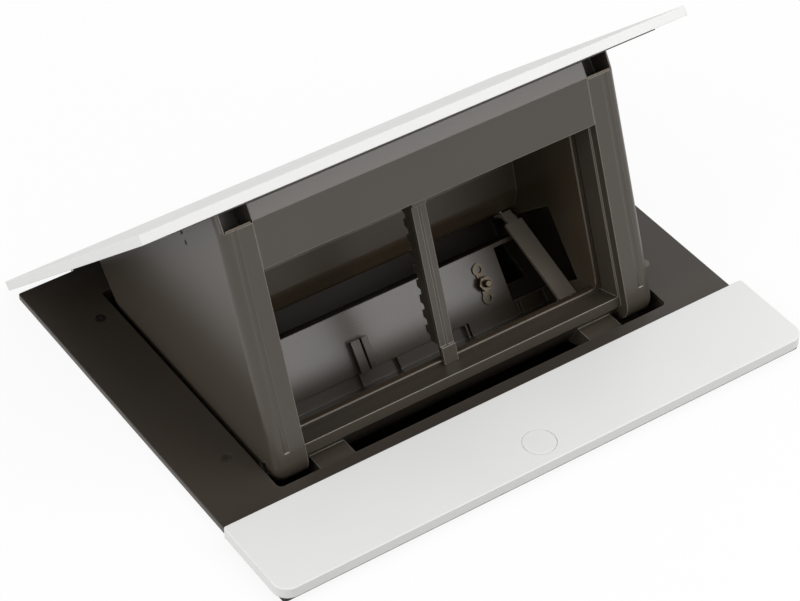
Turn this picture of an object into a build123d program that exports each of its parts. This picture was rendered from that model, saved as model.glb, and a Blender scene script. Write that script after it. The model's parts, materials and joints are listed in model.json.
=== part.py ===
from build123d import *
from math import cos, radians, sin
import os

# Desk pop up box for sockets, drawn open as in the photograph, in millimetres.
# Origin: centre of the desk cut-out, in the plane of the desk top, +Z up, +Y to the rear.
# The tilting box has its own coordinates: u runs forward along the lid from its rear edge,
# and w runs up from the lid's underside.

# Overall
open_angle = 41.5
box_half_width = 112.0
box_run = 200.0
box_drop = 130.0
face_lean = 22.8
lid_thickness = 5.0
carrier_thickness = 0.7
lid_lift = 1.0
gasket_thickness = 1.4
plate_thickness = 3.0
bar_depth = 51.0
wall = 2.4
tub_roof_drop = 30.5
cut_over = 12.0

# Gaps and steps, from the box to the edge of the plate
side_gap = 3.2
well_gap = 1.8
collar_side_wall = 14.0
desk_lap = 19.5
edge_inset = 2.5
box_rear_u = 29.5
bevel_step = 2.8
front_gap = 1.1
rear_gap = 2.0
rear_well_gap = 1.0
collar_rear_wall = 3.5
latch_room = 23.7
plate_strip = 11.7
plate_rear_inset = 4.5
hinge_inset = 2.0
lid_gap = 0.6

# Places that follow
hole_half_width = box_half_width + side_gap
well_half_width = hole_half_width + well_gap
collar_half_width = well_half_width + collar_side_wall
plate_half_width = collar_half_width + desk_lap
half_width = plate_half_width + edge_inset
bevel_top_u = box_run - bevel_step
rear_margin = collar_rear_wall + rear_well_gap
collar_half_depth = (rear_margin + rear_gap + bevel_top_u - box_rear_u + front_gap + latch_room) / 2
hole_rear_y = collar_half_depth - rear_margin
lid_rear_y = hole_rear_y - rear_gap + box_rear_u
hole_front_y = lid_rear_y - bevel_top_u - front_gap
bar_rear_y = hole_front_y - plate_strip
bar_front_y = bar_rear_y - bar_depth
plate_rear_y = lid_rear_y - plate_rear_inset
plate_front_y = bar_front_y + edge_inset
plate_depth = plate_rear_y - plate_front_y
plate_mid_y = (plate_rear_y + plate_front_y) / 2
plate_top_z = gasket_thickness + plate_thickness
lid_under_z = plate_top_z + lid_lift
bar_top_z = lid_under_z + lid_thickness
bar_thickness = bar_top_z - plate_top_z
lid_depth = lid_rear_y - bar_rear_y - lid_gap
hinge_y = lid_rear_y - hinge_inset
hinge_z = gasket_thickness + plate_thickness / 2
hinge_drop = lid_under_z - hinge_z
lean = radians(face_lean)
tilt = radians(open_angle)
face_tip = tilt - lean
box_down = box_drop / cos(lean)

# Screws
screw_radius = 1.6
screw_head_radius = 3.1
screw_head_height = screw_head_radius - screw_radius
socket_radius = 0.9
socket_depth = 0.9
small_radius = 1.25
small_head_radius = 2.3
small_head_height = 1.3

low = (Align.CENTER, Align.CENTER, Align.MIN)
high = (Align.CENTER, Align.CENTER, Align.MAX)
lid_up = Axis((0, 0, 0), (0, sin(tilt), cos(tilt)))
face_out = Axis((0, 0, 0), (0, -cos(face_tip), sin(face_tip)))


def opened(u, w):
    """Place (y, z) of a point of the open box."""
    reach = u - hinge_inset
    rise = w + hinge_drop
    return hinge_y - reach * cos(tilt) + rise * sin(tilt), hinge_z + reach * sin(tilt) + rise * cos(tilt)


def boxed(y, z):
    """Place (u, w) in the open box of a point y, z."""
    dy = y - hinge_y
    dz = z - hinge_z
    return hinge_inset - dy * cos(tilt) + dz * sin(tilt), dy * sin(tilt) + dz * cos(tilt) - hinge_drop


def on_face(down, back):
    """Place (u, w) of a point so far down the sloping face from the lid, and so far behind it."""
    return box_run - down * sin(lean) - back * cos(lean), back * sin(lean) - down * cos(lean)


def shared(shares):
    """Places (u, w) of outline points given as shares of the box's run and drop."""
    return [(u_share * box_run, -w_share * box_drop) for u_share, w_share in shares]


def side_plane(x):
    """Upright plane across the hinge line at x, with u and w as its axes; it faces -X."""
    return Plane(origin=(x, *opened(0, 0)), x_dir=(0, -cos(tilt), sin(tilt)), z_dir=(-1, 0, 0))


def lid_plane(w):
    """Plane along the open lid at height w, where y is minus u; it faces up."""
    return Plane(origin=(0, *opened(0, w)), x_dir=(1, 0, 0), z_dir=lid_up.direction)


def face_plane(back):
    """Plane along the sloping face, so far behind it, where y is minus the way down; it faces out."""
    return Plane(origin=(0, *opened(*on_face(0, back))), x_dir=(1, 0, 0), z_dir=face_out.direction)


def section_plane(down):
    """Plane square to the sloping face, where y is the way out of the face; it faces down it."""
    return Plane(
        origin=(0, *opened(*on_face(down, 0))),
        x_dir=(1, 0, 0),
        z_dir=(0, -sin(face_tip), -cos(face_tip)),
    )


def face_polygon(*points):
    """Closed polygon through points given as (down, back)."""
    Polygon(*[on_face(down, back) for down, back in points], align=None)


def in_tub(shares):
    """Places (u, w) as shares of the box's run, and of the height from the tub's roof to the box's floor."""
    tub_height = box_drop - tub_roof_drop
    return [(u_share * box_run, -tub_roof_drop - w_share * tub_height) for u_share, w_share in shares]


os.makedirs("parts", exist_ok=True)

# Base plate, with two pairs of hinge barrels on its rear edge
plate_corner_radius = 1.5
plate_edge = 0.3
hole_corner_radius = 3.0
plate_screw_inset = 25.5
plate_screw_front = 31.6
plate_screw_rear = 17.5
stem_half_width = 7.0
stem_side_gap = 1.0
stem_front_wall = 3.2
stem_cover = 3.0
bar_screw_x = 70.0
pin_radius = 1.0
barrel_radius = 2.0
barrel_relief = 0.1
base_barrel_length = 14.0
outer_barrel_inset = 8.0
outer_barrel_x = box_half_width - outer_barrel_inset
inner_barrel_x = 20.0
slot_half_width = stem_half_width + stem_side_gap
slot_front_y = plate_front_y + stem_front_wall
slot_rear_y = bar_rear_y - stem_cover
plate_screw_x = half_width - edge_inset - plate_screw_inset
plate_screw_ys = (hole_front_y + plate_screw_front, hole_rear_y - plate_screw_rear)
plate_screws = [(side * plate_screw_x, y) for side in (-1, 1) for y in plate_screw_ys]
bar_screws = [(side * bar_screw_x, (bar_rear_y + bar_front_y) / 2) for side in (-1, 1)]
with BuildPart() as base_plate:
    with BuildSketch(Plane.XY.offset(gasket_thickness)):
        with Locations((0, plate_mid_y)):
            RectangleRounded(2 * plate_half_width, plate_depth, plate_corner_radius)
        with Locations((0, (hole_rear_y + hole_front_y) / 2)):
            RectangleRounded(
                2 * hole_half_width,
                hole_rear_y - hole_front_y,
                hole_corner_radius,
                mode=Mode.SUBTRACT,
            )
        with Locations((0, (slot_front_y + slot_rear_y) / 2)):
            Rectangle(2 * slot_half_width, slot_rear_y - slot_front_y, mode=Mode.SUBTRACT)
    extrude(amount=plate_thickness)
    chamfer(base_plate.faces().sort_by(Axis.Z)[-1].outer_wire().edges(), length=plate_edge)
    with Locations([(x, y, plate_top_z) for x, y in plate_screws]):
        CounterSinkHole(screw_radius, screw_head_radius, counter_sink_angle=90)
    with Locations([Location((x, y, gasket_thickness), (180, 0, 0)) for x, y in bar_screws]):
        CounterSinkHole(screw_radius, screw_head_radius, counter_sink_angle=90)
    for barrel_x in (outer_barrel_x, inner_barrel_x):
        for side in (-1, 1):
            with BuildSketch(Plane.YZ.offset(side * barrel_x)):
                with Locations((hinge_y, hinge_z)):
                    Circle(barrel_radius)
                with Locations(((plate_rear_y - hinge_inset + hinge_y) / 2, hinge_z)):
                    Rectangle(hinge_y - plate_rear_y + hinge_inset, plate_thickness - 2 * barrel_relief)
                with Locations((hinge_y, hinge_z)):
                    Circle(pin_radius, mode=Mode.SUBTRACT)
            extrude(amount=side * base_barrel_length)
base_plate.part.label = "base_plate"
export_step(base_plate.part, "parts/base_plate.step")

# Desk gasket
gasket_inset = 3.0
cut_out_gap = 0.6
head_relief = 0.4
button_offset = 37.2
button_y = bar_rear_y - button_offset
with BuildPart() as desk_gasket:
    with BuildSketch():
        with Locations((0, plate_mid_y)):
            RectangleRounded(
                2 * (plate_half_width - gasket_inset),
                plate_depth - 2 * gasket_inset,
                plate_corner_radius,
            )
        Rectangle(
            2 * (collar_half_width + cut_out_gap),
            2 * (collar_half_depth + cut_out_gap),
            mode=Mode.SUBTRACT,
        )
        with Locations((0, button_y)):
            Circle(slot_half_width, mode=Mode.SUBTRACT)
        with Locations(bar_screws):
            Circle(screw_head_radius + head_relief, mode=Mode.SUBTRACT)
    extrude(amount=gasket_thickness)
desk_gasket.part.label = "desk_gasket"
export_step(desk_gasket.part, "parts/desk_gasket.step")

# Mounting collar: the wall that drops through the desk, with a chamber for the latch
collar_drop = 22.0
collar_corner_radius = 4.0
well_front_gap = 4.2
partition_wall = 4.0
collar_front_wall = 1.5
latch_chamber_depth = 7.4
latch_chamber_gap = 2.5
finger_inset = 9.0
finger_x = box_half_width - finger_inset
finger_width = 12.0
finger_gap = 0.5
pocket_wall = 3.0
pocket_roof = 8.0
plate_screw_length = 12.0
clamp_radius = 2.0
clamp_inset = 6.5
clamp_spread = 30.0
clamp_shift = 18.0
pocket_length = 30.0
well_front_y = hole_front_y - well_front_gap
well_rear_y = hole_rear_y + rear_well_gap
chamber_front_y = collar_front_wall - collar_half_depth
chamber_rear_y = well_front_y - partition_wall
arm_half_width = finger_x + finger_width / 2
clamp_x = collar_half_width - clamp_inset
pocket_x = (collar_half_width + well_half_width) / 2
clamps = [(side * clamp_x, clamp_shift + step * clamp_spread) for side in (-1, 1) for step in (-1, 1)]
with BuildPart() as mounting_collar:
    with BuildSketch(Plane.XY.offset(gasket_thickness)):
        RectangleRounded(2 * collar_half_width, 2 * collar_half_depth, collar_corner_radius)
        with Locations((0, (well_front_y + well_rear_y) / 2)):
            Rectangle(2 * well_half_width, well_rear_y - well_front_y, mode=Mode.SUBTRACT)
    extrude(amount=-gasket_thickness - collar_drop)
    with BuildSketch(Plane.XY.offset(gasket_thickness)):
        with Locations((0, (chamber_front_y + chamber_rear_y) / 2)):
            Rectangle(2 * (arm_half_width + latch_chamber_gap), chamber_rear_y - chamber_front_y)
        with Locations([(side * finger_x, (chamber_rear_y + well_front_y) / 2) for side in (-1, 1)]):
            Rectangle(finger_width + 2 * finger_gap, partition_wall + 2 * finger_gap)
    extrude(amount=-latch_chamber_depth, mode=Mode.SUBTRACT)
    with BuildSketch(Plane.XY.offset(-collar_drop)):
        with Locations([(side * pocket_x, clamp_shift) for side in (-1, 1)]):
            Rectangle(collar_side_wall - 2 * pocket_wall, pocket_length)
    extrude(amount=collar_drop - pocket_roof, mode=Mode.SUBTRACT)
    with Locations([(x, y, gasket_thickness) for x, y in plate_screws]):
        Hole(screw_radius, depth=plate_screw_length - plate_thickness)
    with Locations([(x, y, 0) for x, y in clamps]):
        Hole(clamp_radius)
mounting_collar.part.label = "mounting_collar"
export_step(mounting_collar.part, "parts/mounting_collar.step")

# Plate screws
for index, (x, y) in enumerate(plate_screws, 1):
    with BuildPart() as plate_screw:
        with Locations((x, y, plate_top_z)):
            Cylinder(screw_radius, plate_screw_length, align=high)
            Cone(screw_radius, screw_head_radius, screw_head_height, align=high)
        with BuildSketch(Plane.XY.offset(plate_top_z)):
            with Locations((x, y)):
                RegularPolygon(socket_radius, 6)
        extrude(amount=-socket_depth, mode=Mode.SUBTRACT)
    plate_screw.part.label = f"plate_screw_{index}"
    export_step(plate_screw.part, f"parts/plate_screw_{index}.step")

# Bar screws, from below
bar_cover = 2.2
bar_screw_length = bar_top_z - bar_cover - gasket_thickness
for index, (x, y) in enumerate(bar_screws, 1):
    with BuildPart() as bar_screw:
        with Locations((x, y, gasket_thickness)):
            Cylinder(screw_radius, bar_screw_length, align=low)
            Cone(screw_head_radius, screw_radius, screw_head_height, align=low)
        with BuildSketch(Plane.XY.offset(gasket_thickness)):
            with Locations((x, y)):
                RegularPolygon(socket_radius, 6)
        extrude(amount=socket_depth, mode=Mode.SUBTRACT)
    bar_screw.part.label = f"bar_screw_{index}"
    export_step(bar_screw.part, f"parts/bar_screw_{index}.step")

# Desk clamps, turned in as they go through the cut-out
desk_thickness = 25.0
clamp_thickness = 3.0
clamp_length = 24.0
clamp_width = 12.0
clamp_heel = 5.0
clamp_corner_radius = 2.0
tooth_width = 2.0
for index, (x, y) in enumerate(clamps, 1):
    with BuildPart() as desk_clamp:
        with BuildSketch(Plane.XY.offset(-desk_thickness)):
            with Locations((x, y + clamp_length / 2 - clamp_heel)):
                RectangleRounded(clamp_width, clamp_length, clamp_corner_radius)
            with Locations((x, y)):
                Circle(clamp_radius, mode=Mode.SUBTRACT)
        extrude(amount=-clamp_thickness)
        with BuildSketch(Plane.XY.offset(-desk_thickness)):
            with Locations((x, y + clamp_length - clamp_heel - tooth_width)):
                Rectangle(clamp_width - 2 * clamp_corner_radius, tooth_width)
        extrude(amount=tooth_width)
    desk_clamp.part.label = f"desk_clamp_{index}"
    export_step(desk_clamp.part, f"parts/desk_clamp_{index}.step")

# Clamp screws, turned from below
clamp_head_radius = 3.8
clamp_head_height = 3.2
clamp_socket_radius = 1.9
clamp_socket_depth = 1.8
clamp_screw_cover = 1.0
for index, (x, y) in enumerate(clamps, 1):
    with BuildPart() as clamp_screw:
        with Locations((x, y, -desk_thickness - clamp_thickness)):
            Cylinder(clamp_radius, desk_thickness + clamp_thickness - clamp_screw_cover, align=low)
            Cylinder(clamp_head_radius, clamp_head_height, align=high)
        with BuildSketch(Plane.XY.offset(-desk_thickness - clamp_thickness - clamp_head_height)):
            with Locations((x, y)):
                RegularPolygon(clamp_socket_radius, 6)
        extrude(amount=clamp_socket_depth, mode=Mode.SUBTRACT)
    clamp_screw.part.label = f"clamp_screw_{index}"
    export_step(clamp_screw.part, f"parts/clamp_screw_{index}.step")

# Front bar, with the button's bore and pockets for the latch springs
bar_corner_radius = 8.0
rear_corner_radius = 1.2
top_edge_radius = 0.5
button_radius = 8.4
button_gap = 0.2
flange_reach = 1.3
flange_gap = 0.3
bore_roof = 3.1
button_travel = 1.8
latch_travel = 3.2
pocket_cover = 2.4
spring_x = 13.5
spring_pocket_width = 5.0
spring_pocket_front = 32.5
lug_pocket_front = 23.5
lug_pocket_rear = 15.5
bore_roof_z = bar_top_z - bore_roof
spring_pocket_front_y = bar_rear_y - spring_pocket_front
lug_pocket_front_y = bar_rear_y - lug_pocket_front
lug_pocket_rear_y = bar_rear_y - lug_pocket_rear
spring_pocket_y = (spring_pocket_front_y + lug_pocket_rear_y) / 2
with BuildPart() as front_bar:
    with BuildSketch(Plane.XY.offset(plate_top_z)):
        with Locations((0, (bar_front_y + bar_rear_y) / 2)):
            Rectangle(2 * half_width, bar_depth)
    extrude(amount=bar_thickness)
    fillet(front_bar.edges().filter_by(Axis.Z).group_by(Axis.Y)[0], bar_corner_radius)
    fillet(front_bar.edges().filter_by(Axis.Z).group_by(Axis.Y)[-1], rear_corner_radius)
    fillet(front_bar.faces().sort_by(Axis.Z)[-1].outer_wire().edges(), top_edge_radius)
    with BuildSketch(Plane.XY.offset(plate_top_z)):
        with Locations((0, button_y)):
            Circle(button_radius + flange_reach + flange_gap)
    extrude(amount=bore_roof_z - plate_top_z, mode=Mode.SUBTRACT)
    with Locations((0, button_y, bar_top_z)):
        Hole(button_radius + button_gap)
    with BuildSketch(Plane.XY.offset(plate_top_z)):
        with Locations((0, (lug_pocket_front_y + lug_pocket_rear_y) / 2)):
            Rectangle(2 * spring_x + spring_pocket_width, lug_pocket_rear_y - lug_pocket_front_y)
        with Locations([(side * spring_x, spring_pocket_y) for side in (-1, 1)]):
            Rectangle(spring_pocket_width, lug_pocket_rear_y - spring_pocket_front_y)
    extrude(amount=bar_thickness - pocket_cover, mode=Mode.SUBTRACT)
    with Locations([Location((x, y, plate_top_z), (180, 0, 0)) for x, y in bar_screws]):
        Hole(screw_radius, depth=bar_thickness - bar_cover)
front_bar.part.label = "front_bar"
export_step(front_bar.part, "parts/front_bar.step")

# Release button, flush with the bar, with a wedge that pushes the latch forward
button_edge_radius = 0.4
flange_lift = 0.2
wedge_height = 3.8
wedge_rear = 5.0
wedge_nose = 2.7
wedge_half_width = 4.0
flange_bottom_z = plate_top_z + flange_lift
flange_top_z = bore_roof_z - button_travel
wedge_bottom_z = flange_bottom_z - wedge_height
wedge_rear_y = button_y + wedge_rear
wedge_nose_y = button_y + wedge_nose
wedge_slope = latch_travel / button_travel
with BuildPart() as release_button:
    with Locations((0, button_y, bar_top_z)):
        Cylinder(button_radius, bar_top_z - flange_bottom_z, align=high)
    fillet(release_button.edges().filter_by(GeomType.CIRCLE).group_by(Axis.Z)[-1], button_edge_radius)
    with Locations((0, button_y, flange_bottom_z)):
        Cylinder(button_radius + flange_reach, flange_top_z - flange_bottom_z, align=low)
    with BuildSketch(Plane.YZ):
        with BuildLine():
            Polyline(
                (wedge_nose_y, wedge_bottom_z),
                (wedge_rear_y, wedge_bottom_z),
                (wedge_rear_y, flange_bottom_z),
                (wedge_nose_y - wedge_slope * wedge_height, flange_bottom_z),
                close=True,
            )
        make_face()
    extrude(amount=wedge_half_width, both=True)
release_button.part.label = "release_button"
export_step(release_button.part, "parts/release_button.step")

# Latch slider: a stem round the wedge, a drop into the chamber, and an arm with two fingers
stem_top_gap = 0.3
stem_thickness = 2.2
stem_front_gap = 0.6
stem_rear_gap = 1.0
drop_width = 2.5
arm_width = 6.0
arm_drop = 3.4
arm_thickness = 2.6
finger_rest_gap = 0.5
tip_chamfer = 1.2
lug_width = 2.5
lug_gap = 0.5
window_gap = 0.3
window_side_gap = 0.4
stem_top_z = plate_top_z - stem_top_gap
stem_bottom_z = stem_top_z - stem_thickness
stem_front_y = slot_front_y + stem_front_gap
drop_rear_y = slot_rear_y - latch_travel - stem_rear_gap
drop_front_y = drop_rear_y - drop_width
arm_bottom_z = -arm_drop
arm_rear_y = drop_front_y + arm_width
pillar_top_drop = 10.1
box_reach = bevel_top_u - hinge_inset
finger_tip_y = hinge_y - box_reach + finger_rest_gap
lug_front_y = lug_pocket_front_y + lug_gap
lug_top_z = bar_top_z - pocket_cover - lug_gap
lug_bottom_z = plate_top_z + stem_top_gap
window_front_y = wedge_nose_y - window_gap * wedge_slope - wedge_slope * (stem_bottom_z - wedge_bottom_z)
with BuildPart() as latch_slider:
    with BuildSketch(Plane.XY.offset(stem_bottom_z)):
        with Locations((0, (stem_front_y + drop_rear_y) / 2)):
            Rectangle(2 * stem_half_width, drop_rear_y - stem_front_y)
    extrude(amount=stem_thickness)
    with BuildSketch(Plane.XY.offset(arm_bottom_z)):
        with Locations((0, (drop_front_y + drop_rear_y) / 2)):
            Rectangle(2 * stem_half_width, drop_width)
    extrude(amount=stem_top_z - arm_bottom_z)
    with BuildSketch(Plane.XY.offset(arm_bottom_z)):
        with Locations((0, (drop_front_y + arm_rear_y) / 2)):
            Rectangle(2 * arm_half_width, arm_width)
        with Locations([(side * finger_x, (drop_front_y + finger_tip_y) / 2) for side in (-1, 1)]):
            Rectangle(finger_width, finger_tip_y - drop_front_y)
    extrude(amount=arm_thickness)
    tip_edges = latch_slider.edges().filter_by(Axis.X).group_by(Axis.Y)[-1]
    chamfer(tip_edges.group_by(Axis.Z)[0], length=tip_chamfer)
    with BuildSketch(Plane.XZ.offset(-lug_front_y)):
        with Locations((0, (stem_bottom_z + lug_top_z) / 2)):
            Rectangle(2 * stem_half_width, lug_top_z - stem_bottom_z)
        with Locations((0, (lug_bottom_z + lug_top_z) / 2)):
            Rectangle(2 * spring_x + spring_pocket_width - 2 * lug_gap, lug_top_z - lug_bottom_z)
    extrude(amount=-lug_width)
    with BuildSketch(Plane.YZ):
        with BuildLine():
            Polyline(
                (window_front_y, stem_bottom_z),
                (wedge_rear_y + window_side_gap, stem_bottom_z),
                (wedge_rear_y + window_side_gap, stem_top_z),
                (window_front_y - wedge_slope * stem_thickness, stem_top_z),
                close=True,
            )
        make_face()
    extrude(amount=wedge_half_width + window_side_gap, both=True, mode=Mode.SUBTRACT)
latch_slider.part.label = "latch_slider"
export_step(latch_slider.part, "parts/latch_slider.step")

# Latch springs, plain tubes between the bar and the latch's lug
latch_spring_radius = 1.7
latch_spring_wire = 0.5
spring_z = (plate_top_z + bar_top_z - pocket_cover) / 2
for side, name in ((-1, "latch_spring_left"), (1, "latch_spring_right")):
    with BuildPart() as latch_spring:
        with BuildSketch(Plane.XZ.offset(-spring_pocket_front_y)):
            with Locations((side * spring_x, spring_z)):
                Circle(latch_spring_radius)
                Circle(latch_spring_radius - latch_spring_wire, mode=Mode.SUBTRACT)
        extrude(amount=spring_pocket_front_y - lug_front_y)
    latch_spring.part.label = name
    export_step(latch_spring.part, f"parts/{name}.step")

# Hinge pin
with BuildPart() as hinge_pin:
    with BuildSketch(Plane.YZ):
        with Locations((hinge_y, hinge_z)):
            Circle(pin_radius)
    extrude(amount=outer_barrel_x + base_barrel_length, both=True)
hinge_pin.part.label = "hinge_pin"
export_step(hinge_pin.part, "parts/hinge_pin.step")

# Torsion springs on the pin, plain tubes, between the leaf's barrels
barrel_gap = 0.2
leaf_barrel_length = 15.0
torsion_spring_radius = 1.8
torsion_spring_gap = 0.1
leaf_outer_x = outer_barrel_x - barrel_gap - leaf_barrel_length
leaf_inner_x = inner_barrel_x + base_barrel_length + barrel_gap
torsion_start_x = leaf_inner_x + leaf_barrel_length + barrel_gap
torsion_end_x = leaf_outer_x - barrel_gap
for side, name in ((-1, "torsion_spring_left"), (1, "torsion_spring_right")):
    with BuildPart() as torsion_spring:
        with BuildSketch(Plane.YZ.offset(side * torsion_start_x)):
            with Locations((hinge_y, hinge_z)):
                Circle(torsion_spring_radius)
                Circle(pin_radius + torsion_spring_gap, mode=Mode.SUBTRACT)
        extrude(amount=side * (torsion_end_x - torsion_start_x))
    torsion_spring.part.label = name
    export_step(torsion_spring.part, f"parts/{name}.step")

# Lid cover
lid_corner_radius = 1.2
lid_edge_radius = 0.4
lid_screw_inset = 12.0
lid_screw_x = box_half_width - lid_screw_inset
lid_screw_rear_u = 45.0
lid_screw_front_u = 152.0
lid_screw_bite = 3.4
leaf_screw_inset = 16.0
leaf_screw_x = box_half_width - leaf_screw_inset
leaf_screw_u = 9.0
lid_screws = [(side * lid_screw_x, -u) for side in (-1, 1) for u in (lid_screw_rear_u, lid_screw_front_u)]
leaf_screws = [(side * leaf_screw_x, -leaf_screw_u) for side in (-1, 1)]
with BuildPart() as lid_cover:
    with BuildSketch(lid_plane(0)):
        with Locations((0, -lid_depth / 2)):
            RectangleRounded(2 * half_width, lid_depth, lid_corner_radius)
    extrude(amount=lid_thickness)
    fillet(lid_cover.faces().sort_by(lid_up)[-1].outer_wire().edges(), lid_edge_radius)
    with BuildSketch(lid_plane(0)):
        with Locations(lid_screws + leaf_screws):
            Circle(small_radius)
    extrude(amount=lid_screw_bite, mode=Mode.SUBTRACT)
lid_cover.part.label = "lid_cover"
export_step(lid_cover.part, "parts/lid_cover.step")

# Lid carrier, the dark sheet under the lid
carrier_half_width = 137.0
carrier_rear_u = 14.0
carrier_front_inset = 6.0
carrier_corner_radius = 2.0
carrier_front_u = lid_depth - carrier_front_inset
with BuildPart() as lid_carrier:
    with BuildSketch(lid_plane(-carrier_thickness)):
        with Locations((0, -(carrier_front_u + carrier_rear_u) / 2)):
            RectangleRounded(
                2 * carrier_half_width,
                carrier_front_u - carrier_rear_u,
                carrier_corner_radius,
            )
        with Locations(lid_screws):
            Circle(small_radius, mode=Mode.SUBTRACT)
    extrude(amount=carrier_thickness)
lid_carrier.part.label = "lid_carrier"
export_step(lid_carrier.part, "parts/lid_carrier.step")

# Hinge leaf, with two pairs of barrels between those of the plate
leaf_rear_u = 4.8
leaf_web = 1.7
barrel_clearance = 0.05
leaf_half_width = outer_barrel_x - barrel_gap
with BuildPart() as hinge_leaf:
    with BuildSketch(lid_plane(-carrier_thickness)):
        with Locations((0, -(leaf_rear_u + carrier_rear_u) / 2)):
            Rectangle(2 * leaf_half_width, carrier_rear_u - leaf_rear_u)
        with Locations(leaf_screws):
            Circle(small_radius, mode=Mode.SUBTRACT)
    extrude(amount=carrier_thickness)
    for near_x in (leaf_inner_x, leaf_outer_x):
        for side in (-1, 1):
            with BuildSketch(side_plane(side * near_x)):
                with Locations((hinge_inset, -hinge_drop)):
                    Circle(barrel_radius)
                with Locations((hinge_inset + leaf_web / 2, -hinge_drop / 2)):
                    Rectangle(leaf_web, hinge_drop)
                with Locations(((hinge_inset + leaf_rear_u) / 2, -carrier_thickness / 2)):
                    Rectangle(leaf_rear_u - hinge_inset, carrier_thickness)
                with Locations((hinge_inset, -hinge_drop)):
                    Circle(pin_radius + barrel_clearance, mode=Mode.SUBTRACT)
            extrude(amount=-side * leaf_barrel_length)
hinge_leaf.part.label = "hinge_leaf"
export_step(hinge_leaf.part, "parts/hinge_leaf.step")

# Leaf screws, flush with the leaf
for index, (x, y) in enumerate(leaf_screws, 1):
    with BuildPart() as leaf_screw:
        with BuildSketch(lid_plane(-carrier_thickness)):
            with Locations((x, y)):
                Circle(small_radius)
        extrude(amount=carrier_thickness + lid_screw_bite)
        with BuildSketch(lid_plane(-carrier_thickness)):
            with Locations((x, y)):
                RegularPolygon(socket_radius, 6)
        extrude(amount=socket_depth, mode=Mode.SUBTRACT)
    leaf_screw.part.label = f"leaf_screw_{index}"
    export_step(leaf_screw.part, f"parts/leaf_screw_{index}.step")

# Box shell: side walls, pillars, sill, rear wall and floor, with tabs, stop lugs and a cable window
shell_shares = ((0.1475, 0.354), (0.35, 0.885), (0.44, 1.0))
underside_length = 21.35
floor_setback = 0.6
pillar_width = 17.0
step_inset = 1.0
ledge_inset = 1.6
step_back = 5.5
step_top_down = 36.0
ledge_back = 20.8
sill_rise = 10.2
rail_rise = 5.0
rail_foot_back = 9.0
top_rail_down = 24.0
mouth_rail_down = 39.0
crossbar_down = 35.0
crossbar_screw_x = 60.0
crossbar_boss = 7.0
foot_block = 12.0
foot_radius = 9.5
edge_radius = 5.0
groove_radius = 3.0
groove_depth = 0.5
groove_inset = 7.0
groove_x = box_half_width - groove_inset
recess_rear_u = 180.0
tab_thickness = 2.5
tab_length = 14.0
tab_inner_inset = 17.5
tab_inner_x = box_half_width - tab_inner_inset
boss_drop = 11.5
boss_inner_inset = 7.0
boss_inner_x = box_half_width - boss_inner_inset
boss_length = 8.0
side_screw_drop = 7.7
notch_length = 3.0
notch_drop = 3.2
foot_notch_depth = 4.0
foot_notch_front = 7.75
foot_notch_rear = 14.95
foot_notch_slant = 1.6
foot_notch_top = 11.05
foot_notch_bottom = 4.95
window_half_width = 26.0
window_x = 66.0
window_shares = ((0.19, 0.43), (0.31, 0.75))
stop_lug_inset = 32.0
stop_lug_x = box_half_width - stop_lug_inset
stop_lug_width = 20.0
stop_lug_reach = 2.6
stop_lug_height = 5.2
stop_lug_length = 19.0
stop_lug_root = 6.0
pad_thickness = 1.1
pad_gap = 0.1
pillar_half_width = box_half_width - pillar_width
step_half_width = pillar_half_width - step_inset
ledge_half_width = step_half_width - ledge_inset
sill_down = box_down - sill_rise
rail_down = box_down - rail_rise
ledge_rear = ledge_back + wall
stop_lug_front_y = hole_front_y - stop_lug_reach
stop_lug_top_z = gasket_thickness - pad_gap - pad_thickness
rail_bottom = on_face(rail_down, step_back)
foot_u = on_face(box_down, 0)[0]
underside_u = foot_u - underside_length
foot_notch = [
    (foot_u - foot_notch_rear, foot_notch_top - box_drop),
    (foot_u - foot_notch_front, foot_notch_top - box_drop),
    (foot_u - foot_notch_front - foot_notch_slant, foot_notch_bottom - box_drop),
    (foot_u - foot_notch_rear, foot_notch_bottom - box_drop),
]
crossbar_screw_down = crossbar_down - wall - crossbar_boss / 2
crossbar_screws = [(side * crossbar_screw_x, -crossbar_screw_down) for side in (-1, 1)]
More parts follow.
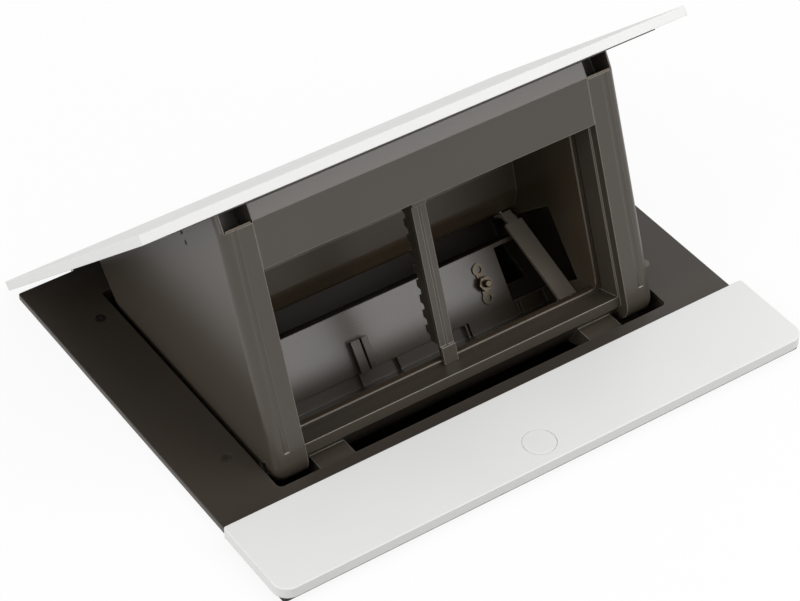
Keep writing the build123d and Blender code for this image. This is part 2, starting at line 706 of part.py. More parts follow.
with BuildPart() as box_shell:
    with BuildSketch(side_plane(0)):
        with BuildLine():
            Polyline(
                (box_rear_u, -carrier_thickness),
                *shared(shell_shares),
                on_face(box_down, 0),
                on_face(pillar_top_drop / cos(lean), 0),
                (bevel_top_u, -carrier_thickness),
                close=True,
            )
        make_face()
    extrude(amount=box_half_width, both=True)
    fillet(box_shell.edges().filter_by(Axis.X).sort_by(face_out)[-3:].sort_by(lid_up)[0], foot_radius)
    for end in (0, -1):
        fillet(box_shell.edges().group_by(Axis.X)[end].sort_by(face_out)[-3:], edge_radius)
    # cavity
    with BuildSketch(side_plane(0)):
        with BuildLine():
            Polyline(
                (box_rear_u + wall, cut_over),
                (box_rear_u + wall, shared(shell_shares)[0][1] + wall / 2),
                (shared(shell_shares)[1][0] + wall, shared(shell_shares)[1][1] + wall / 2),
                (shared(shell_shares)[2][0] + wall / 2, wall - box_drop),
                (underside_u - floor_setback, wall - box_drop),
                on_face(sill_down + wall, rail_foot_back),
                on_face(sill_down + wall, ledge_rear),
                on_face(0, ledge_rear),
                (on_face(0, ledge_rear)[0], cut_over),
                close=True,
            )
        make_face()
    extrude(amount=box_half_width - wall, both=True, mode=Mode.SUBTRACT)
    # opening between the pillars, the step behind it and the mouth behind that
    with BuildSketch(side_plane(0)):
        face_polygon(
            (-cut_over, -cut_over),
            (-cut_over, ledge_back),
            (step_top_down, ledge_back),
            (step_top_down, step_back),
            (rail_down, step_back),
            (rail_down, -cut_over),
        )
        Polygon(
            rail_bottom,
            (underside_u, -box_drop),
            (underside_u, -box_drop - cut_over),
            (box_run, -box_drop - cut_over),
            (box_run, rail_bottom[1]),
            align=None,
        )
    extrude(amount=pillar_half_width, both=True, mode=Mode.SUBTRACT)
    with BuildSketch(side_plane(0)):
        face_polygon(
            (-cut_over, 0),
            (-cut_over, ledge_rear),
            (top_rail_down, ledge_rear),
            (top_rail_down, ledge_back),
            (sill_down, ledge_back),
            (sill_down, 0),
        )
    extrude(amount=step_half_width, both=True, mode=Mode.SUBTRACT)
    with BuildSketch(side_plane(0)):
        face_polygon(
            (mouth_rail_down, ledge_back),
            (mouth_rail_down, ledge_rear + wall),
            (sill_down + wall, ledge_rear + wall),
            (sill_down + wall, ledge_back),
        )
    extrude(amount=ledge_half_width, both=True, mode=Mode.SUBTRACT)
    for side in (-1, 1):
        outer_x = side * (box_half_width - wall)
        # recess above each pillar, for the latch's finger
        with BuildSketch(side_plane(outer_x)):
            Polygon(
                (recess_rear_u, -pillar_top_drop),
                (box_run + cut_over, -pillar_top_drop),
                (box_run + cut_over, cut_over),
                (recess_rear_u, cut_over),
                align=None,
            )
        extrude(amount=side * (box_half_width - wall - pillar_half_width), mode=Mode.SUBTRACT)
        # hollow of each pillar, open to the rear
        with BuildSketch(side_plane(outer_x)):
            Polygon(
                on_face((pillar_top_drop + wall) / cos(lean), wall),
                on_face((box_drop - foot_block) / cos(lean), wall),
                on_face((box_drop - foot_block) / cos(lean), ledge_rear + wall),
                on_face((pillar_top_drop + wall) / cos(lean) + cut_over, ledge_rear + wall),
                align=None,
            )
        extrude(amount=side * (box_half_width - 2 * wall - pillar_half_width), mode=Mode.SUBTRACT)
        # soft groove beside each outer edge
        with BuildSketch(section_plane(0)):
            with Locations((side * groove_x, groove_radius - groove_depth)):
                Circle(groove_radius)
        extrude(amount=(box_drop - foot_block) / cos(lean), mode=Mode.SUBTRACT)
        # notch in each foot and under the lid
        with BuildSketch(side_plane(side * (box_half_width + cut_over))):
            Polygon(*foot_notch, align=None)
        extrude(amount=side * (cut_over + foot_notch_depth), mode=Mode.SUBTRACT)
        with BuildSketch(side_plane(side * (box_half_width + cut_over))):
            with Locations((lid_screw_front_u, 0)):
                Rectangle(notch_length, 2 * notch_drop)
        extrude(amount=side * (cut_over + wall), mode=Mode.SUBTRACT)
        # boss for the side screw
        with BuildSketch(side_plane(side * (box_half_width - wall / 2))):
            with Locations((lid_screw_front_u, -(boss_drop + notch_drop) / 2)):
                Rectangle(boss_length, boss_drop - notch_drop)
        extrude(amount=side * (box_half_width - wall / 2 - boss_inner_x))
        with BuildSketch(side_plane(side * (box_half_width + cut_over))):
            with Locations((lid_screw_front_u, -side_screw_drop)):
                Circle(small_radius)
        extrude(amount=side * (box_half_width + cut_over - boss_inner_x), mode=Mode.SUBTRACT)
        # stop lug that meets the plate from below
        with BuildSketch(side_plane(side * (stop_lug_x + stop_lug_width / 2))):
            Polygon(
                boxed(stop_lug_front_y, stop_lug_top_z),
                boxed(stop_lug_front_y, stop_lug_top_z - stop_lug_height),
                (underside_u - stop_lug_root, wall / 2 - box_drop),
                (underside_u, wall / 2 - box_drop),
                boxed(stop_lug_front_y + stop_lug_length, stop_lug_top_z),
                align=None,
            )
        extrude(amount=side * stop_lug_width)
    # tabs that carry the lid
    with BuildSketch(lid_plane(-carrier_thickness)):
        for x, y in lid_screws:
            side = 1 if x > 0 else -1
            with Locations((side * (tab_inner_x + box_half_width - wall / 2) / 2, y)):
                Rectangle(box_half_width - wall / 2 - tab_inner_x, tab_length)
        with Locations(lid_screws):
            Circle(small_radius, mode=Mode.SUBTRACT)
    extrude(amount=-tab_thickness)
    # cable window in the rear wall, and holes for the crossbar's screws
    with BuildSketch(side_plane(window_x + window_half_width)):
        (near_u, near_w), (far_u, far_w) = shared(window_shares)
        Polygon((near_u + wall, near_w), (far_u + wall, far_w), (0, far_w), (0, near_w), align=None)
    extrude(amount=2 * window_half_width, mode=Mode.SUBTRACT)
    with BuildSketch(face_plane(ledge_rear)):
        with Locations(crossbar_screws):
            Circle(small_radius)
    extrude(amount=wall, mode=Mode.SUBTRACT)
box_shell.part.label = "box_shell"
export_step(box_shell.part, "parts/box_shell.step")

# Lid screws, from inside the box through the tabs and the carrier
lid_screw_length = tab_thickness + carrier_thickness + lid_screw_bite
for index, (x, y) in enumerate(lid_screws, 1):
    with BuildPart() as lid_screw:
        with BuildSketch(lid_plane(-carrier_thickness - tab_thickness)):
            with Locations((x, y)):
                Circle(small_radius)
        extrude(amount=lid_screw_length)
        with BuildSketch(lid_plane(-carrier_thickness - tab_thickness)):
            with Locations((x, y)):
                Circle(small_head_radius)
        extrude(amount=-small_head_height)
        with BuildSketch(lid_plane(-carrier_thickness - tab_thickness - small_head_height)):
            with Locations((x, y)):
                RegularPolygon(socket_radius, 6)
        extrude(amount=socket_depth, mode=Mode.SUBTRACT)
    lid_screw.part.label = f"lid_screw_{index}"
    export_step(lid_screw.part, f"parts/lid_screw_{index}.step")

# Side screws: headless, with a socket, just below the surface
side_screw_sink = 0.6
for side, name in ((-1, "side_screw_left"), (1, "side_screw_right")):
    with BuildPart() as side_screw:
        with BuildSketch(side_plane(side * boss_inner_x)):
            with Locations((lid_screw_front_u, -side_screw_drop)):
                Circle(small_radius)
        extrude(amount=-side * (box_half_width - side_screw_sink - boss_inner_x))
        with BuildSketch(side_plane(side * (box_half_width - side_screw_sink))):
            with Locations((lid_screw_front_u, -side_screw_drop)):
                RegularPolygon(socket_radius, 6)
        extrude(amount=side * socket_depth, mode=Mode.SUBTRACT)
    side_screw.part.label = name
    export_step(side_screw.part, f"parts/{name}.step")

# Stop pads on the lugs
pad_length = 4.6
pad_inset = 2.0
for side, name in ((-1, "stop_pad_left"), (1, "stop_pad_right")):
    with BuildPart() as stop_pad:
        with BuildSketch(Plane.XY.offset(stop_lug_top_z)):
            with Locations((side * stop_lug_x, stop_lug_front_y + pad_gap + pad_length / 2)):
                Rectangle(stop_lug_width - 2 * pad_inset, pad_length)
        extrude(amount=pad_thickness)
    stop_pad.part.label = name
    export_step(stop_pad.part, f"parts/{name}.step")

# Striker plates on the pillars, which the latch's fingers hold
striker_thickness = 1.0
striker_side_gap = 0.5
striker_front_inset = 0.6
striker_front_u = on_face(pillar_top_drop / cos(lean), 0)[0] - striker_front_inset
striker_rear_u = recess_rear_u + striker_side_gap
striker_x = (box_half_width - wall + pillar_half_width) / 2
striker_width = box_half_width - wall - pillar_half_width - 2 * striker_side_gap
for side, name in ((-1, "striker_left"), (1, "striker_right")):
    with BuildPart() as striker:
        with BuildSketch(lid_plane(-pillar_top_drop)):
            with Locations((side * striker_x, -(striker_front_u + striker_rear_u) / 2)):
                Rectangle(striker_width, striker_front_u - striker_rear_u)
        extrude(amount=striker_thickness)
    striker.part.label = name
    export_step(striker.part, f"parts/{name}.step")

# Top crossbar: a bent form with closed ends, open to the rear
crossbar_gap = 0.1
crossbar_top_gap = 0.3
crossbar_roof_rear_u = 178.0
bevel_down = 10.3
crossbar_half_width = pillar_half_width - crossbar_gap
crossbar_top_w = -carrier_thickness - crossbar_top_gap
with BuildPart() as top_crossbar:
    with BuildSketch(side_plane(0)):
        Polygon(
            on_face(crossbar_down, 0),
            on_face(crossbar_down, ledge_back),
            on_face(crossbar_down - wall, ledge_back),
            on_face(crossbar_down - wall, wall),
            on_face(bevel_down, wall),
            (bevel_top_u - wall, crossbar_top_w - wall),
            (crossbar_roof_rear_u, crossbar_top_w - wall),
            (crossbar_roof_rear_u, crossbar_top_w),
            (bevel_top_u, crossbar_top_w),
            on_face(bevel_down, 0),
            align=None,
        )
    extrude(amount=crossbar_half_width, both=True)
    for side in (-1, 1):
        with BuildSketch(side_plane(side * crossbar_half_width)):
            Polygon(
                on_face(crossbar_down, 0),
                on_face(crossbar_down, ledge_back),
                (crossbar_roof_rear_u, crossbar_top_w),
                (bevel_top_u, crossbar_top_w),
                on_face(bevel_down, 0),
                align=None,
            )
        extrude(amount=side * wall)
        with BuildSketch(side_plane(side * crossbar_screw_x + crossbar_boss / 2)):
            face_polygon(
                (crossbar_down - wall / 2, wall / 2),
                (crossbar_down - wall / 2, ledge_back),
                (crossbar_down - wall - crossbar_boss, ledge_back),
                (crossbar_down - wall - crossbar_boss, wall / 2),
            )
        extrude(amount=crossbar_boss)
    with BuildSketch(face_plane(ledge_back)):
        with Locations(crossbar_screws):
            Circle(small_radius)
    extrude(amount=ledge_back - 2 * wall, mode=Mode.SUBTRACT)
top_crossbar.part.label = "top_crossbar"
export_step(top_crossbar.part, "parts/top_crossbar.step")

# Crossbar screws, from behind the top rail
crossbar_screw_bite = 10.0
for index, (x, y) in enumerate(crossbar_screws, 1):
    with BuildPart() as crossbar_screw:
        with BuildSketch(face_plane(ledge_rear)):
            with Locations((x, y)):
                Circle(small_radius)
        extrude(amount=wall + crossbar_screw_bite)
        with BuildSketch(face_plane(ledge_rear)):
            with Locations((x, y)):
                Circle(small_head_radius)
        extrude(amount=-small_head_height)
        with BuildSketch(face_plane(ledge_rear + small_head_height)):
            with Locations((x, y)):
                RegularPolygon(socket_radius, 6)
        extrude(amount=socket_depth, mode=Mode.SUBTRACT)
    crossbar_screw.part.label = f"crossbar_screw_{index}"
    export_step(crossbar_screw.part, f"parts/crossbar_screw_{index}.step")

# Socket tub: its hollow first, then the walls, the flange with a rounded lip, ribs and cut-outs
tub_shares = (
    (0.510, 0),
    (0.500, 0.0754),
    (0.4675, 0.2161),
    (0.420, 0.2915),
    (0.260, 0.3116),
    (0.260, 0.4271),
    (0.420, 0.4271),
    (0.4075, 0.7537),
    (0.3925, 0.7537),
    (0.3925, 0.8243),
)
back_cut_shares = ((0.360, 0.4473), (0.460, 0.4473), (0.460, 0.7452), (0.360, 0.7452))
back_cut_width = 20.4
side_cut_shares = ((0.265, 0.3363), (0.590, 0.3363), (0.590, 0.7452), (0.265, 0.7452))
back_rib_side_shares = ((-0.2876, -0.2323), (-0.2179, -0.1792))
back_rib_shares = ((0.412, 0.5832), (0.434, 0.5832), (0.4275, 0.7537), (0.405, 0.7537))
floor_rib_side_shares = (
    (-0.2876, -0.2743),
    (-0.0332, -0.0199),
    (0.4314, 0.4447),
    (0.4591, 0.7743),
    (0.8131, 0.9513),
)
floor_rib_shares = ((0.389, 0.7505), (0.4075, 0.7505), (0.406, 0.8328), (0.389, 0.8328))
hook_x = 40.0
hook_width = 10.0
hook_gap = 0.1
hook_down = 37.6
hook_length = 3.0
strap_inset = 5.4
strap_width = 10.4
strap_foot_width = 6.0
strap_screw_radius = 0.9
strap_screw_length = 4.0
strap_seat_shares = ((0.385, 0.3146), (0.5775, 0.8111))
strap_seats = [(u, w, rise) for (u, w), rise in zip(in_tub(strap_seat_shares), (1, -1))]
tub_wall = 1.6
flange_thickness = 1.4
flange_side_gap = 0.4
flange_side = 3.2
flange_top_down = 37.2
flange_end_gap = 0.2
flange_margin = 0.8
flange_corner_radius = 3.0
lip_width = 2.0
lip_height = 1.0
lip_edge_radius = 0.9
lip_corner_radius = 5.0
toe_step = 5.2
toe_start_back = 22.8
toe_back = 24.5
tub_bend_radius = 8.0
flange_half_width = step_half_width - flange_side_gap
tub_half_width = flange_half_width - flange_side
strap_x = tub_half_width - strap_inset
flange_back = ledge_back - flange_thickness
mouth_down = sill_down - flange_end_gap - flange_margin - lip_width
tub_places = in_tub(tub_shares)
roof_w = tub_places[0][1]
roof_down = (flange_back * sin(lean) - roof_w) / cos(lean)
roof_outer_down = (ledge_rear * sin(lean) - roof_w) / cos(lean) - tub_wall / 2
tub_outline = [
    on_face(mouth_down, toe_start_back),
    on_face(mouth_down + toe_step, toe_back),
]


def tub_profile(back):
    """Outline of the hollow, closed off so far behind the face."""
    roof_front = on_face((back * sin(lean) - roof_w) / cos(lean), back)
    return [roof_front, *tub_places, *reversed(tub_outline), on_face(mouth_down, back)]


with BuildPart() as tub_hollow:
    with BuildSketch(side_plane(0)) as hollow_profile:
        Polygon(*tub_profile(0), align=None)
        fillet(hollow_profile.vertices().sort_by_distance(tub_places[2])[0], tub_bend_radius)
        fillet(hollow_profile.vertices().sort_by_distance(tub_places[3])[0], tub_bend_radius)
    extrude(amount=tub_half_width, both=True)

with BuildPart() as socket_tub:
    with BuildSketch(side_plane(0)):
        Polygon(*tub_profile(flange_back + tub_wall), align=None)
        offset(amount=tub_wall, kind=Kind.INTERSECTION)
    extrude(amount=tub_half_width + tub_wall, both=True)
    with BuildSketch(face_plane(ledge_back)):
        with Locations((0, -(flange_top_down + sill_down - flange_end_gap) / 2)):
            RectangleRounded(
                2 * flange_half_width,
                sill_down - flange_end_gap - flange_top_down,
                flange_corner_radius,
            )
    extrude(amount=flange_thickness)
    with BuildSketch(face_plane(flange_back)):
        with Locations((0, -(roof_down + mouth_down) / 2)):
            RectangleRounded(
                2 * (tub_half_width + lip_width),
                mouth_down - roof_down + 2 * lip_width,
                lip_corner_radius + lip_width,
            )
            RectangleRounded(
                2 * tub_half_width,
                mouth_down - roof_down,
                lip_corner_radius,
                mode=Mode.SUBTRACT,
            )
    extrude(amount=lip_height)
    fillet(socket_tub.faces().sort_by(face_out)[-1].edges(), lip_edge_radius)
    add(tub_hollow.part, mode=Mode.SUBTRACT)
    # cable cut-outs in the back plate and the right-hand side
    with BuildSketch(side_plane(tub_half_width)):
        Polygon(*in_tub(back_cut_shares), align=None)
    extrude(amount=back_cut_width, mode=Mode.SUBTRACT)
    with BuildSketch(side_plane(tub_half_width + 2 * tub_wall)):
        Polygon(*in_tub(side_cut_shares), align=None)
    extrude(amount=3 * tub_wall, mode=Mode.SUBTRACT)
    # ribs on the back plate and on the floor
    for left_share, right_share in back_rib_side_shares:
        with BuildSketch(side_plane(right_share * tub_half_width)):
            Polygon(*in_tub(back_rib_shares), align=None)
        extrude(amount=(right_share - left_share) * tub_half_width)
    for left_share, right_share in floor_rib_side_shares:
        with BuildSketch(side_plane(right_share * tub_half_width)):
            Polygon(*in_tub(floor_rib_shares), align=None)
        extrude(amount=(right_share - left_share) * tub_half_width)
    # hooks behind the top rail
    for side in (-1, 1):
        with BuildSketch(side_plane(side * hook_x + hook_width / 2)):
            face_polygon(
                (roof_outer_down, ledge_rear + hook_gap),
                (hook_down, ledge_rear + hook_gap),
                (roof_outer_down, ledge_rear + hook_gap + hook_length),
            )
        extrude(amount=hook_width)
    # holes for the strap's screws
    for u, w, rise in strap_seats:
        with BuildSketch(lid_plane(w)):
            with Locations((strap_x, -u)):
                Circle(strap_screw_radius)
        extrude(amount=rise * strap_screw_length, mode=Mode.SUBTRACT)
socket_tub.part.label = "socket_tub"
export_step(socket_tub.part, "parts/socket_tub.step")

# Centre bar: it crosses the lip, and its web has a row of teeth
centre_bar_width = 8.0
centre_bar_back = 18.0
centre_bar_thickness = 2.2
centre_bar_front = 16.6
centre_bar_top_down = 38.6
head_length = 6.5
foot_length = 9.4
centre_groove_width = 1.2
centre_groove_depth = 0.6
web_width = 2.4
web_back = 34.0
web_foot_rise = 7.8
tooth_count = 9
tooth_depth = 2.6
tooth_shares = ((0.0, 0), (0.45, 0), (0.55, 1), (0.90, 1))
lip_front_back = flange_back - lip_height
centre_bar_foot_down = sill_down - flange_end_gap
web_top_down = (web_back * sin(lean) - roof_w) / cos(lean) + tub_wall / 2
web_foot_down = sill_down - web_foot_rise
tooth_pitch = (web_foot_down - web_top_down) / tooth_count
groove_length = centre_bar_foot_down - foot_length - centre_bar_top_down - head_length
with BuildPart() as centre_bar:
    with BuildSketch(side_plane(centre_bar_width / 2)):
        face_polygon(
            (roof_down + lip_width, centre_bar_back),
            (roof_down + lip_width, centre_bar_back + centre_bar_thickness),
            (mouth_down - tub_wall, centre_bar_back + centre_bar_thickness),
            (mouth_down - tub_wall, centre_bar_back),
        )
        face_polygon(
            (centre_bar_top_down, centre_bar_front),
            (centre_bar_top_down, lip_front_back),
            (centre_bar_top_down + head_length, lip_front_back),
            (centre_bar_top_down + head_length, centre_bar_front),
        )
        face_polygon(
            (centre_bar_foot_down - foot_length, centre_bar_front),
            (centre_bar_foot_down - foot_length, lip_front_back),
            (centre_bar_foot_down, lip_front_back),
            (centre_bar_foot_down, centre_bar_front),
        )
    extrude(amount=centre_bar_width)
    with BuildSketch(section_plane(centre_bar_top_down + head_length)):
        with Locations((0, -centre_bar_back)):
            Rectangle(centre_groove_width, 2 * centre_groove_depth)
    extrude(amount=groove_length, mode=Mode.SUBTRACT)
    with BuildSketch(side_plane(web_width / 2)):
        with BuildLine():
            Polyline(
                on_face(web_top_down, centre_bar_back + centre_bar_thickness / 2),
                *[
                    on_face(web_top_down + (tooth + way) * tooth_pitch, web_back - sink * tooth_depth)
                    for tooth in range(tooth_count)
                    for way, sink in tooth_shares
                ],
                on_face(web_foot_down, web_back - tooth_depth),
                on_face(web_foot_down, centre_bar_back + centre_bar_thickness / 2),
                close=True,
            )
        make_face()
    extrude(amount=web_width)
centre_bar.part.label = "centre_bar"
export_step(centre_bar.part, "parts/centre_bar.step")

# Cable strap across the right-hand cut-out, with a foot at each end
strap_shares = (
    (0.435, 0.3598),
    (0.562, 0.8111),
    (0.590, 0.8111),
    (0.590, 0.8262),
    (0.541, 0.8262),
    (0.5455, 0.7975),
    (0.4265, 0.3699),
)
strap_foot_shares = (
    (0.435, 0.3598),
    (0.4125, 0.2997),
    (0.370, 0.3028),
    (0.370, 0.3146),
    (0.403, 0.3146),
    (0.4265, 0.3699),
)
with BuildPart() as cable_strap:
    with BuildSketch(side_plane(strap_x + strap_width / 2)):
        Polygon(*in_tub(strap_shares), align=None)
    extrude(amount=strap_width)
    with BuildSketch(side_plane(strap_x + strap_foot_width / 2)):
        Polygon(*in_tub(strap_foot_shares), align=None)
    extrude(amount=strap_foot_width)
    for u, w, rise in strap_seats:
        with BuildSketch(lid_plane(w)):
            with Locations((strap_x, -u)):
                Circle(strap_screw_radius)
        extrude(amount=rise * strap_screw_length, mode=Mode.SUBTRACT)
cable_strap.part.label = "cable_strap"
export_step(cable_strap.part, "parts/cable_strap.step")

# Strap screws, with round heads on the strap's feet
strap_head_radius = 1.8
strap_head_height = 1.0
for index, (u, w, rise) in enumerate(strap_seats, 1):
    with BuildPart() as strap_screw:
        with BuildSketch(lid_plane(w)):
            with Locations((strap_x, -u)):
                Circle(strap_screw_radius)
        extrude(amount=rise * strap_screw_length)
        with BuildSketch(lid_plane(w)):
            with Locations((strap_x, -u)):
                Circle(strap_head_radius)
        extrude(amount=-rise * strap_head_height)
    strap_screw.part.label = f"strap_screw_{index}"
    export_step(strap_screw.part, f"parts/strap_screw_{index}.step")

# Earth clip on the back plate, with a ring on each side of the stud
earth_inset = 33.4
earth_share = 0.517
clip_thickness = 1.0
clip_pitch = 7.8
clip_ring_radius = 3.4
clip_ring_bore = 1.7
clip_width = 4.6
stud_radius = 2.0
stud_length = 7.0
stud_chamfer = 0.5
nut_across = 7.0
nut_height = 3.2
earth_x = tub_half_width - earth_inset
(back_u, back_w), (foot_u, foot_w) = tub_places[6:8]
back_length = ((foot_u - back_u) ** 2 + (foot_w - back_w) ** 2) ** 0.5
earth_u = back_u + (foot_u - back_u) * earth_share
earth_w = back_w + (foot_w - back_w) * earth_share
out_u = (back_w - foot_w) / back_length
out_w = (foot_u - back_u) / back_length
earth_plane = Plane(
    origin=(earth_x, *opened(earth_u, earth_w)),
    x_dir=(1, 0, 0),
    z_dir=(0, out_w * sin(tilt) - out_u * cos(tilt), out_w * cos(tilt) + out_u * sin(tilt)),
)
with BuildPart() as earth_clip:
    with BuildSketch(earth_plane):
        Rectangle(clip_width, 2 * clip_pitch)
        with Locations((0, clip_pitch), (0, -clip_pitch)):
            Circle(clip_ring_radius)
        with Locations((0, clip_pitch), (0, -clip_pitch)):
            Circle(clip_ring_bore, mode=Mode.SUBTRACT)
        Circle(stud_radius, mode=Mode.SUBTRACT)
    extrude(amount=clip_thickness)
earth_clip.part.label = "earth_clip"
export_step(earth_clip.part, "parts/earth_clip.step")

# Earth stud
with BuildPart() as earth_stud:
    with BuildSketch(earth_plane):
        Circle(stud_radius)
    extrude(amount=stud_length)
    chamfer(earth_stud.edges().filter_by(GeomType.CIRCLE).sort_by(face_out)[-1], length=stud_chamfer)
earth_stud.part.label = "earth_stud"
export_step(earth_stud.part, "parts/earth_stud.step")

# Earth nut
with BuildPart() as earth_nut:
    with BuildSketch(earth_plane.offset(clip_thickness)):
        RegularPolygon(nut_across / 2, 6, major_radius=False)
        Circle(stud_radius, mode=Mode.SUBTRACT)
    extrude(amount=nut_height)
earth_nut.part.label = "earth_nut"
export_step(earth_nut.part, "parts/earth_nut.step")
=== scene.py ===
import json
import math

import bmesh
import bpy
from mathutils import Matrix, Vector


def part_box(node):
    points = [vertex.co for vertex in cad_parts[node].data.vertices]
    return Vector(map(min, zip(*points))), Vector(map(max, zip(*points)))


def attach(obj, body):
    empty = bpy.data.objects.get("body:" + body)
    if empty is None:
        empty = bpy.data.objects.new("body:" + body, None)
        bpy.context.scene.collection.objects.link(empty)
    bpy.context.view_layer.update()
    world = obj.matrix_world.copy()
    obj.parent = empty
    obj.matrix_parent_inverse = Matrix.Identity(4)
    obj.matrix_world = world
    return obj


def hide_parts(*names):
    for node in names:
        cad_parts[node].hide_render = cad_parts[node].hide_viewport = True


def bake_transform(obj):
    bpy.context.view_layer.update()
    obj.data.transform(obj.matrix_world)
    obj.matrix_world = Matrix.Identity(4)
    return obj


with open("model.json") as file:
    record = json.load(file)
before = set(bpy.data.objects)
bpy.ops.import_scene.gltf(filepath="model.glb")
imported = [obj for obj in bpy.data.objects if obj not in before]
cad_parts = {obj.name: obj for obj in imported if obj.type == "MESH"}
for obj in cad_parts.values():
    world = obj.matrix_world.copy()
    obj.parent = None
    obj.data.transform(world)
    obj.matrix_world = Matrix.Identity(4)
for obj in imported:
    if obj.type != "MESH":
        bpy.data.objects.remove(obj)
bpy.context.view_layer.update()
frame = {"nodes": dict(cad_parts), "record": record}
scene = bpy.context.scene
scene.view_settings.view_transform = "Standard"
mm = 0.001
print("cad nodes loaded:", len(frame["nodes"]))


# shared helpers

def toLinear(hexColour):
    channels = [int(hexColour[i:i + 2], 16) / 255 for i in (1, 3, 5)]
    return [c / 12.92 if c <= 0.04045 else ((c + 0.055) / 1.055) ** 2.4 for c in channels] + [1.0]


def addNode(tree, kind, settings=None, links=None):
    # settings go to a socket where there is one of that name, else to the node itself
    node = tree.nodes.new(kind)
    for key, value in (settings or {}).items():
        if isinstance(key, int) or key in node.inputs:
            node.inputs[key].default_value = value
        else:
            setattr(node, key, value)
    for key, source in (links or {}).items():
        tree.links.new(source, node.inputs[key])
    return node


def newMaterial(name):
    material = bpy.data.materials.new(name)
    material.use_nodes = True
    material.node_tree.nodes.clear()
    return material, material.node_tree


def perMetre(size):
    # a noise's scale for a pattern whose features are this many metres wide
    return 1.0 / size


def newObject(name, mesh, material):
    # works for a mesh that is ready, and for one still open in bmesh
    if isinstance(mesh, bmesh.types.BMesh):
        bmesh.ops.recalc_face_normals(mesh, faces=mesh.faces)
        data = bpy.data.meshes.new(name)
        mesh.to_mesh(data)
        mesh.free()
    else:
        data = mesh
    data.materials.append(material)
    piece = bpy.data.objects.new(name, data)
    scene.collection.objects.link(piece)
    return piece


def skinRings(mesh, rings, closed=False):
    # quads between one ring of points and the next, with the last ring joined to the first or both ends capped
    pairs = list(zip(rings, rings[1:])) + ([(rings[-1], rings[0])] if closed else [])
    for first, second in pairs:
        for k in range(len(first)):
            n = (k + 1) % len(first)
            mesh.faces.new((first[k], first[n], second[n], second[k]))
    if not closed:
        mesh.faces.new(rings[0])
        mesh.faces.new(list(reversed(rings[-1])))


# camera, fitted to the photograph's straight edges

cameraSettings = {
    "place": (-578.14 * mm, -882.6 * mm, 934.55 * mm),
    "right": (0.82996563, -0.55766781, -0.01279321),
    "up": (0.3757905, 0.54203809, 0.75164899),
    "back": (-0.41223603, -0.6286504, 0.65943925),
    "focalPixels": 2790.8,
    "centrePixels": (393.9, 301.4),
    "picture": (800, 601),
    "sensor": 36.0,  # millimetres
    "clip": (0.05, 40.0),  # metres
}


def makeCamera(s):
    data = bpy.data.cameras.new("camera")
    data.sensor_fit = "HORIZONTAL"
    data.sensor_width = s["sensor"]
    width, height = s["picture"]
    data.lens = s["focalPixels"] * s["sensor"] / width
    data.shift_x = (width / 2 - s["centrePixels"][0]) / width
    data.shift_y = (s["centrePixels"][1] - height / 2) / width
    data.clip_start, data.clip_end = s["clip"]
    camera = bpy.data.objects.new("camera", data)
    axes = Matrix((s["right"], s["up"], s["back"])).transposed().to_4x4()
    camera.matrix_world = Matrix.Translation(s["place"]) @ axes
    scene.collection.objects.link(camera)
    scene.camera = camera


makeCamera(cameraSettings)
print("camera placed")


# studio: a pale desk top as the floor, with the cut-out that the device hangs in, soft boxes and an even sky

studioSettings = {
    "sky": "#ffffff",
    "skyStrength": 0.63,
    "softBoxes": (
        # name, place in metres, what it faces, width, height, watts
        ("keyBox", (0.95, -0.55, 1.55), (0.0, 0.0, 0.03), 1.2, 1.2, 9.6),
        ("leftFill", (-1.7, -0.1, 1.0), (0.0, 0.0, 0.05), 1.2, 1.2, 6.0),
        ("leftLowBox", (-1.9, -0.1, 0.42), (0.0, 0.0, 0.05), 1.1, 0.55, 10.5),
        ("lowFrontBox", (0.58, -1.138, 0.61), (0.0, 0.0, 0.05), 0.85, 0.42, 4.4),
    ),
    "floor": "#f4f4f3",
    "floorRoughness": 0.9,
    "floorSpecular": 0.2,
    "floorBounce": "#8c8b89",  # the tone it has for the light that it throws back up
    "floorSize": 12.0,
    "plainShare": 0.9,  # how much of the floor is seen as plain white, so that its shadows stay light
    "shadowReach": (0.25, 0.9),  # metres from the middle between which the rest of it turns plain too
    "cutOut": (263.0 * mm, 200.0 * mm, 170.0 * mm),  # across, front to back, and the depth of the well below
    "well": "#6a6052",
    "wellRoughness": 0.95,
    "wellSpecular": 0.1,
}


def seenPlainly(tree):
    # 1 for a ray from the camera or off a glossy or clear surface, which sees the background as plain white
    path = addNode(tree, "ShaderNodeLightPath")
    first = addNode(tree, "ShaderNodeMath", {"operation": "MAXIMUM"},
                    {0: path.outputs["Is Camera Ray"], 1: path.outputs["Is Glossy Ray"]})
    return addNode(tree, "ShaderNodeMath", {"operation": "MAXIMUM"},
                   {0: first.outputs[0], 1: path.outputs["Is Transmission Ray"]})


def makeSky(s):
    world = bpy.data.worlds.new("studioSky")
    scene.world = world
    world.use_nodes = True
    tree = world.node_tree
    tree.nodes.clear()
    even = addNode(tree, "ShaderNodeBackground", {"Color": toLinear(s["sky"]), "Strength": s["skyStrength"]})
    white = addNode(tree, "ShaderNodeBackground", {"Color": toLinear(s["sky"]), "Strength": 1.0})
    seen = seenPlainly(tree)
    mix = addNode(tree, "ShaderNodeMixShader", links={0: seen.outputs[0], 1: even.outputs[0], 2: white.outputs[0]})
    addNode(tree, "ShaderNodeOutputWorld", links={"Surface": mix.outputs[0]})


def makeSoftBoxes(s):
    for name, place, target, width, height, watts in s["softBoxes"]:
        data = bpy.data.lights.new(name, "AREA")
        data.shape = "RECTANGLE"
        data.size = width
        data.size_y = height
        data.energy = watts
        box = bpy.data.objects.new(name, data)
        box.location = place
        box.rotation_euler = (Vector(target) - Vector(place)).to_track_quat("-Z", "Y").to_euler()
        scene.collection.objects.link(box)


